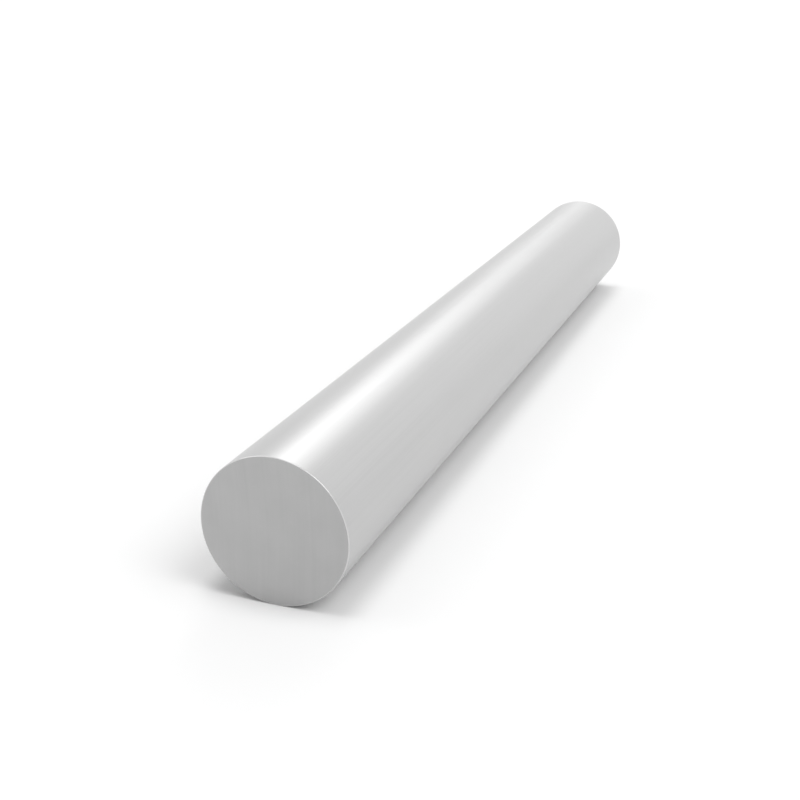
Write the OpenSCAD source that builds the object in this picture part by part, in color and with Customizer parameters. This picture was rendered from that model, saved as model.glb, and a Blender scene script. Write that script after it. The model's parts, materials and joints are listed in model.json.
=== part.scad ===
// Aluminium round bar: one length of solid round stock, cut square at both ends
// with the sharp edges broken. It lies on its side, with its length along X.

/* [Section] */
// Diameter of the bar
bar_diameter = 30; // [6:0.5:120]

/* [Length] */
// Overall length between the two cut ends
bar_length = 250; // [50:1:3000]

/* [Ends] */
// Leg of the 45 degree chamfer that breaks the edge of each cut end
edge_break = 0.15; // [0.1:0.05:1]

/* [Hidden] */

// Facets of the round surface in a preview
$fn = 128;

bar_radius = bar_diameter / 2;
end_face_radius = bar_radius - edge_break;

// Half of the bar's long section, drawn with the axis up, from one cut end to the other
module half_section() {
    polygon([
        [0, 0],
        [end_face_radius, 0],
        [bar_radius, edge_break],
        [bar_radius, bar_length - edge_break],
        [end_face_radius, bar_length],
        [0, bar_length],
    ]);
}

// The bar, turned about its axis, laid on its side and centred over the origin
module round_bar() {
    color("silver")
        translate([-bar_length / 2, 0, bar_radius])
            rotate([0, 90, 0])
                rotate_extrude()
                    half_section();
}

round_bar();
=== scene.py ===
"""A length of solid round aluminium bar, drawn smooth, sawn square at both ends and lying on a pale floor."""

import json
import math

import bmesh
import bpy
from mathutils import Matrix, Vector


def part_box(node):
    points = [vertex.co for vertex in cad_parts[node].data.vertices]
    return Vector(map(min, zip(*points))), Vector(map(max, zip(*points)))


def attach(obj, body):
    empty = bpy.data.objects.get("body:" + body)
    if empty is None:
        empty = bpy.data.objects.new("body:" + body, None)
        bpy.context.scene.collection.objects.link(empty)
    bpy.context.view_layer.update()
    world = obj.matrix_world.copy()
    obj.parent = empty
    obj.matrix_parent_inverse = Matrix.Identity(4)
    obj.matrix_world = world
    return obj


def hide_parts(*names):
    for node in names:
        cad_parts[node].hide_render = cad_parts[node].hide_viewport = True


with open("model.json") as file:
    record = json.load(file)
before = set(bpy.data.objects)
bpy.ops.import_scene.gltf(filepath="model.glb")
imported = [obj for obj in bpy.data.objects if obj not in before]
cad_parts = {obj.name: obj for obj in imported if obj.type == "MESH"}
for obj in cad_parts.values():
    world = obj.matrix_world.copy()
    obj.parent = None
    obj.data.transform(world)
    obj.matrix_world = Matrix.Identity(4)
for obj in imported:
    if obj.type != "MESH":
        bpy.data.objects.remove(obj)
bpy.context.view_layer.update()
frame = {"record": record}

MM = 0.001
MICRON = 0.000001

# The bar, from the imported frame
mounts = {mount["name"]: mount for mount in frame["record"]["mounts"]}
bar_low, bar_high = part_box("round_bar")
BAR_LENGTH = bar_high.x - bar_low.x
BAR_RADIUS = mounts["outside_diameter"]["dims"]["r_mm"] * MM
EDGE_BREAK = (BAR_LENGTH - mounts["outside_diameter"]["dims"]["length_mm"] * MM) / 2

# How finely the bar is meshed
BAR_SIDES = 256
EDGE_STEPS = 4
LENGTH_PARTS = 20
RIM_MARGIN = 0.25 * MM
FACE_RINGS = 4
MERGE_DISTANCE = 0.001 * MM

# Material slots of the bar's mesh, after the drawn skin in slot 0
SAWN = 1
EDGE = 2

# Marks of the tools that made the bar
DRAWN_LINE_PITCH = 0.35 * MM
DRAWN_LINE_RUN = 60 * MM
DRAWN_LINE_DEPTH = 3 * MICRON
SAW_BLADE_RADIUS = 180 * MM
SAW_LINE_PITCH = 0.45 * MM
SAW_LINE_RUN = 25 * MM
SAW_LINE_DEPTH = 5 * MICRON
FILE_LINE_PITCH = 0.08 * MM
FILE_LINE_RUN = 0.64 * MM
FILE_LINE_DEPTH = 2 * MICRON

# Nearly all of a noise texture's values lie between these
NOISE_LOW = 0.3
NOISE_HIGH = 0.7

# The camera, as the photograph was taken
CAMERA_PLACE = Vector((0.303, 0.0916, 0.1145))
CAMERA_PITCH = 20.34
CAMERA_HEADING = 110.61
CAMERA_LENS = 54.61
NEAREST_SEEN = 1 * MM

# The studio: a brightness of 1 is white
FLOOR_SIZE = 40.0
FLOOR_TONE = 0.93
ROOM_LIGHT = 0.4


def link(links, source, target):
    """Joins two sockets."""
    links.new(source, target)


def grey(level):
    """A neutral colour."""
    return (level, level, level, 1)


def new_group(name, inputs, outputs):
    """An empty shader node group with named sockets, given as name and type."""
    group = bpy.data.node_groups.new(name, "ShaderNodeTree")
    for direction, sockets in (("INPUT", inputs), ("OUTPUT", outputs)):
        for socket_name, kind in sockets:
            group.interface.new_socket(socket_name, in_out=direction, socket_type=kind)
    start = group.nodes.new("NodeGroupInput")
    end = group.nodes.new("NodeGroupOutput")
    return group, start, end


def tool_lines_group():
    """Fine lines left by a tool: the vector's X runs across them in line pitches, Y and Z along them."""
    group, start, end = new_group(
        "tool_lines",
        [("Vector", "NodeSocketVector"), ("Broad Share", "NodeSocketFloat")],
        [("Lines", "NodeSocketFloat")],
    )
    fine = group.nodes.new("ShaderNodeTexNoise")
    fine.inputs["Scale"].default_value = 1.0
    fine.inputs["Detail"].default_value = 2.0
    broad = group.nodes.new("ShaderNodeTexNoise")
    broad.inputs["Scale"].default_value = 0.2
    broad.inputs["Detail"].default_value = 1.0
    blend = group.nodes.new("ShaderNodeMix")
    link(group.links, start.outputs["Vector"], fine.inputs["Vector"])
    link(group.links, start.outputs["Vector"], broad.inputs["Vector"])
    link(group.links, start.outputs["Broad Share"], blend.inputs["Factor"])
    link(group.links, fine.outputs["Fac"], blend.inputs["A"])
    link(group.links, broad.outputs["Fac"], blend.inputs["B"])
    link(group.links, blend.outputs["Result"], end.inputs["Lines"])
    return group


def clouding_group():
    """Slow drift of tone over the metal, from thin oxide and handling."""
    group, start, end = new_group(
        "clouding",
        [("Vector", "NodeSocketVector"), ("Patch Scale", "NodeSocketFloat")],
        [("Cloud", "NodeSocketFloat")],
    )
    patches = group.nodes.new("ShaderNodeTexNoise")
    patches.inputs["Detail"].default_value = 3.0
    patches.inputs["Roughness"].default_value = 0.55
    link(group.links, start.outputs["Vector"], patches.inputs["Vector"])
    link(group.links, start.outputs["Patch Scale"], patches.inputs["Scale"])
    link(group.links, patches.outputs["Fac"], end.inputs["Cloud"])
    return group


TOOL_LINES = tool_lines_group()
CLOUDING = clouding_group()


def place_group(nodes, links, group, vector, **values):
    """Puts a node group in a material, fed by a vector, with its own values."""
    node = nodes.new("ShaderNodeGroup")
    node.node_tree = group
    link(links, vector, node.inputs["Vector"])
    for name, value in values.items():
        node.inputs[name.replace("_", " ")].default_value = value
    return node


def spread(nodes, links, value, low, high):
    """Carries a noise value, which stays near the middle, over to a range."""
    node = nodes.new("ShaderNodeMapRange")
    node.inputs["From Min"].default_value = NOISE_LOW
    node.inputs["From Max"].default_value = NOISE_HIGH
    node.inputs["To Min"].default_value = low
    node.inputs["To Max"].default_value = high
    link(links, value, node.inputs["Value"])
    return node.outputs["Result"]


def add_up(nodes, links, first, second):
    """The sum of two values."""
    node = nodes.new("ShaderNodeMath")
    node.operation = "ADD"
    link(links, first, node.inputs[0])
    link(links, second, node.inputs[1])
    return node.outputs["Value"]


def object_mapping(nodes, links, location=(0, 0, 0), scale=(1, 1, 1)):
    """The piece's own coordinates, moved and stretched."""
    coordinates = nodes.new("ShaderNodeTexCoord")
    mapping = nodes.new("ShaderNodeMapping")
    mapping.inputs["Location"].default_value = location
    mapping.inputs["Scale"].default_value = scale
    link(links, coordinates.outputs["Object"], mapping.inputs["Vector"])
    return mapping.outputs["Vector"]


def lined_metal(
    name, lines_vector, broad_share, patch_scale, cloud_share, tone, tone_swing, gloss, gloss_swing, depth
):
    """Bare aluminium with tool lines: their vector is made by a function of the material's nodes and links.

    Tone and gloss are the middle values of colour and roughness. A swing is how far the lines carry them
    to each side, and the clouding has a share of it.
    """
    material = bpy.data.materials.new(name)
    material.use_nodes = True
    nodes = material.node_tree.nodes
    links = material.node_tree.links
    shader = nodes["Principled BSDF"]
    shader.inputs["Metallic"].default_value = 1.0

    lines = place_group(nodes, links, TOOL_LINES, lines_vector(nodes, links), Broad_Share=broad_share)
    clouds = place_group(nodes, links, CLOUDING, object_mapping(nodes, links), Patch_Scale=patch_scale)

    line_tone = spread(nodes, links, lines.outputs["Lines"], tone - tone_swing, tone + tone_swing)
    tone_drift = tone_swing * cloud_share
    cloud_tone = spread(nodes, links, clouds.outputs["Cloud"], -tone_drift, tone_drift)
    link(links, add_up(nodes, links, line_tone, cloud_tone), shader.inputs["Base Color"])

    line_gloss = spread(nodes, links, lines.outputs["Lines"], gloss - gloss_swing, gloss + gloss_swing)
    gloss_drift = gloss_swing * cloud_share
    cloud_gloss = spread(nodes, links, clouds.outputs["Cloud"], -gloss_drift, gloss_drift)
    link(links, add_up(nodes, links, line_gloss, cloud_gloss), shader.inputs["Roughness"])

    relief = nodes.new("ShaderNodeBump")
    relief.inputs["Strength"].default_value = 1.0
    relief.inputs["Distance"].default_value = depth
    link(links, lines.outputs["Lines"], relief.inputs["Height"])
    link(links, relief.outputs["Normal"], shader.inputs["Normal"])
    return material


def along_the_bar(nodes, links):
    """Lines that run the length of the bar, all round it."""
    across = 1 / DRAWN_LINE_PITCH
    along = 1 / DRAWN_LINE_RUN
    return object_mapping(nodes, links, scale=(along, across, across))


def saw_sweep(nodes, links):
    """Lines on the arcs that a large saw blade sweeps, its centre level with the bar and to one side."""
    from_blade = object_mapping(nodes, links, location=(0, SAW_BLADE_RADIUS, -BAR_RADIUS), scale=(0, 1, 1))
    distance = nodes.new("ShaderNodeVectorMath")
    distance.operation = "LENGTH"
    link(links, from_blade, distance.inputs[0])
    in_pitches = nodes.new("ShaderNodeMath")
    in_pitches.operation = "DIVIDE"
    in_pitches.inputs[1].default_value = SAW_LINE_PITCH
    link(links, distance.outputs["Value"], in_pitches.inputs[0])
    along = nodes.new("ShaderNodeVectorMath")
    along.operation = "SCALE"
    along.inputs["Scale"].default_value = 1 / SAW_LINE_RUN
    link(links, from_blade, along.inputs[0])
    parts = nodes.new("ShaderNodeSeparateXYZ")
    link(links, along.outputs["Vector"], parts.inputs["Vector"])
    joined = nodes.new("ShaderNodeCombineXYZ")
    link(links, in_pitches.outputs["Value"], joined.inputs["X"])
    link(links, parts.outputs["Z"], joined.inputs["Y"])
    return joined.outputs["Vector"]


def round_the_rim(nodes, links):
    """Short fine marks of a file, taken round the rim."""
    across = 1 / FILE_LINE_PITCH
    along = 1 / FILE_LINE_RUN
    return object_mapping(nodes, links, scale=(across, along, along))


def drawn_skin():
    """The smooth side, with the faint lines of the die along it."""
    return lined_metal(
        "drawn_skin",
        along_the_bar,
        broad_share=0.25,
        patch_scale=45,
        cloud_share=0.25,
        tone=0.545,
        tone_swing=0.02,
        gloss=0.37,
        gloss_swing=0.045,
        depth=DRAWN_LINE_DEPTH,
    )


def sawn_end():
    """The cut faces, rougher than the drawn side, with the sweep of the saw. Their darker tone is painted
    shade.
    """
    return lined_metal(
        "sawn_end",
        saw_sweep,
        broad_share=0.6,
        patch_scale=120,
        cloud_share=1.0,
        # A tone below the drawn skin's is painted shade: the cut face is the same aluminium as the side.
        tone=0.43,
        tone_swing=0.014,
        gloss=0.4,
        gloss_swing=0.025,
        depth=SAW_LINE_DEPTH,
    )


def broken_edge():
    """The bare metal where the sharp edge was taken off. Its lighter tone is partly its own and partly a
    painted highlight along the rim.
    """
    return lined_metal(
        "broken_edge",
        round_the_rim,
        broad_share=0.3,
        patch_scale=300,
        cloud_share=1.0,
        # A tone above the drawn skin's is partly painted highlight on the rim.
        tone=0.63,
        tone_swing=0.02,
        gloss=0.2,
        gloss_swing=0.03,
        depth=FILE_LINE_DEPTH,
    )


def draw_bar(shape):
    """Draws a round blank out along X, from one cut end to the other."""
    start_end = Matrix.Translation((-BAR_LENGTH / 2, 0, BAR_RADIUS)) @ Matrix.Rotation(math.pi / 2, 4, "Y")
    bmesh.ops.create_circle(shape, cap_ends=True, segments=BAR_SIDES, radius=BAR_RADIUS, matrix=start_end)
    drawn = bmesh.ops.extrude_face_region(shape, geom=shape.faces[:])
    far_end = [part for part in drawn["geom"] if isinstance(part, bmesh.types.BMVert)]
    bmesh.ops.translate(shape, verts=far_end, vec=(BAR_LENGTH, 0, 0))


def break_edges(shape):
    """Rounds off the sharp rim of each cut end."""
    rims = [edge for edge in shape.edges if abs(edge.verts[0].co.x - edge.verts[1].co.x) < EDGE_BREAK]
    rounded = bmesh.ops.bevel(
        shape,
        geom=rims,
        offset=EDGE_BREAK,
        offset_type="OFFSET",
        affect="EDGES",
        segments=EDGE_STEPS,
        profile=0.5,
        material=-1,
    )
    for face in rounded["faces"]:
        face.material_index = EDGE


def ring_the_side(shape):
    """Cuts rings round the side: one close behind each rim, the rest evenly spaced."""
    reach = BAR_LENGTH / 2 - EDGE_BREAK - RIM_MARGIN
    for part in range(LENGTH_PARTS + 1):
        place = -reach + 2 * reach * part / LENGTH_PARTS
        everything = shape.verts[:] + shape.edges[:] + shape.faces[:]
        bmesh.ops.bisect_plane(shape, geom=everything, plane_co=(place, 0, 0), plane_no=(1, 0, 0))


def ring_the_ends(shape):
    """Insets each cut face in rings and closes it at its centre."""
    ring_width = (BAR_RADIUS - EDGE_BREAK - RIM_MARGIN) / (FACE_RINGS + 1)
    cut_faces = [face for face in shape.faces if len(face.verts) == BAR_SIDES]
    for face in cut_faces:
        face.material_index = SAWN
        for width in [RIM_MARGIN] + [ring_width] * FACE_RINGS:
            bmesh.ops.inset_individual(shape, faces=[face], thickness=width, use_even_offset=True)
    bmesh.ops.poke(shape, faces=cut_faces)


def round_bar():
    """The whole bar as one piece."""
    shape = bmesh.new()
    draw_bar(shape)
    bmesh.ops.recalc_face_normals(shape, faces=shape.faces[:])
    break_edges(shape)
    ring_the_side(shape)
    ring_the_ends(shape)
    bmesh.ops.remove_doubles(shape, verts=shape.verts[:], dist=MERGE_DISTANCE)
    bmesh.ops.recalc_face_normals(shape, faces=shape.faces[:])
    for face in shape.faces:
        face.smooth = True
    mesh = bpy.data.meshes.new("drawn_round_bar")
    shape.to_mesh(mesh)
    shape.free()
    for material in (drawn_skin(), sawn_end(), broken_edge()):
        mesh.materials.append(material)
    bar = bpy.data.objects.new("drawn_round_bar", mesh)
    bpy.context.collection.objects.link(bar)
    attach(bar, "root")
    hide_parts("round_bar")


def white_floor():
    """The pale floor that the bar lies on."""
    shape = bmesh.new()
    bmesh.ops.create_grid(shape, x_segments=1, y_segments=1, size=FLOOR_SIZE / 2)
    mesh = bpy.data.meshes.new("floor")
    shape.to_mesh(mesh)
    shape.free()
    material = bpy.data.materials.new("white_floor")
    material.use_nodes = True
    shader = material.node_tree.nodes["Principled BSDF"]
    shader.inputs["Base Color"].default_value = grey(FLOOR_TONE)
    shader.inputs["Roughness"].default_value = 1.0
    shader.inputs["Specular IOR Level"].default_value = 0.0
    mesh.materials.append(material)
    ground = bpy.data.objects.new("floor", mesh)
    bpy.context.collection.objects.link(ground)


def white_room():
    """A white room, seen and mirrored as white. It lights the floor less, which leaves the shadow."""
    world = bpy.data.worlds.new("white_room")
    world.use_nodes = True
    nodes = world.node_tree.nodes
    links = world.node_tree.links
    path = nodes.new("ShaderNodeLightPath")
    looked_at = add_up(nodes, links, path.outputs["Is Camera Ray"], path.outputs["Is Glossy Ray"])
    shown = add_up(nodes, links, looked_at, path.outputs["Is Transmission Ray"])
    straight = nodes.new("ShaderNodeMath")
    straight.operation = "SUBTRACT"
    link(links, shown, straight.inputs[0])
    link(links, path.outputs["Diffuse Depth"], straight.inputs[1])
    level = nodes.new("ShaderNodeMapRange")
    level.inputs["To Min"].default_value = ROOM_LIGHT
    level.inputs["To Max"].default_value = 1.0
    link(links, straight.outputs["Value"], level.inputs["Value"])
    background = nodes["Background"]
    background.inputs["Color"].default_value = grey(1)
    link(links, level.outputs["Result"], background.inputs["Strength"])
    bpy.context.scene.world = world


def soft_lamp(name, azimuth, elevation, width, level, mirrored=True):
    """A far round lamp of a given brightness. Azimuth is from +X towards +Y, and angles are in degrees."""
    azimuth = math.radians(azimuth)
    elevation = math.radians(elevation)
    width = math.radians(width)
    direction = Vector((
        math.cos(azimuth) * math.cos(elevation),
        math.sin(azimuth) * math.cos(elevation),
        math.sin(elevation),
    ))
    lamp = bpy.data.objects.new(name, bpy.data.lights.new(name, "SUN"))
    lamp.data.angle = width
    lamp.data.energy = math.pi * math.sin(width / 2) ** 2 * level
    lamp.rotation_euler = direction.to_track_quat("Z", "Y").to_euler()
    lamp.visible_glossy = mirrored
    bpy.context.collection.objects.link(lamp)


def studio_light():
    """A white room and soft lamps. A fill lights the floor but stays out of the metal, which would glare."""
    white_room()
    soft_lamp("overhead", azimuth=180, elevation=89, width=25, level=1.2)
    soft_lamp("overhead_fill", azimuth=180, elevation=89, width=25, level=5.1, mirrored=False)
    soft_lamp("right_side", azimuth=70, elevation=52, width=36, level=1.8)
    soft_lamp("right_fill", azimuth=87, elevation=52, width=46, level=1.5, mirrored=False)
    soft_lamp("left_side", azimuth=-85, elevation=47, width=32, level=1.0)
    soft_lamp("highlight", azimuth=-165, elevation=36, width=14, level=1.4)
    soft_lamp("highlight_glow", azimuth=-167, elevation=37, width=32, level=0.83)
    soft_lamp("backdrop", azimuth=165, elevation=17, width=34, level=0.14)


def photograph_camera():
    """A level camera at the photograph's place, pitch and heading."""
    camera = bpy.data.objects.new("camera", bpy.data.cameras.new("camera"))
    camera.data.lens = CAMERA_LENS
    camera.data.clip_start = NEAREST_SEEN
    camera.location = CAMERA_PLACE
    camera.rotation_euler = (math.radians(90 - CAMERA_PITCH), 0, math.radians(CAMERA_HEADING))
    bpy.context.collection.objects.link(camera)
    bpy.context.scene.camera = camera


round_bar()
white_floor()
studio_light()
photograph_camera()
bpy.context.scene.view_settings.view_transform = "Standard"
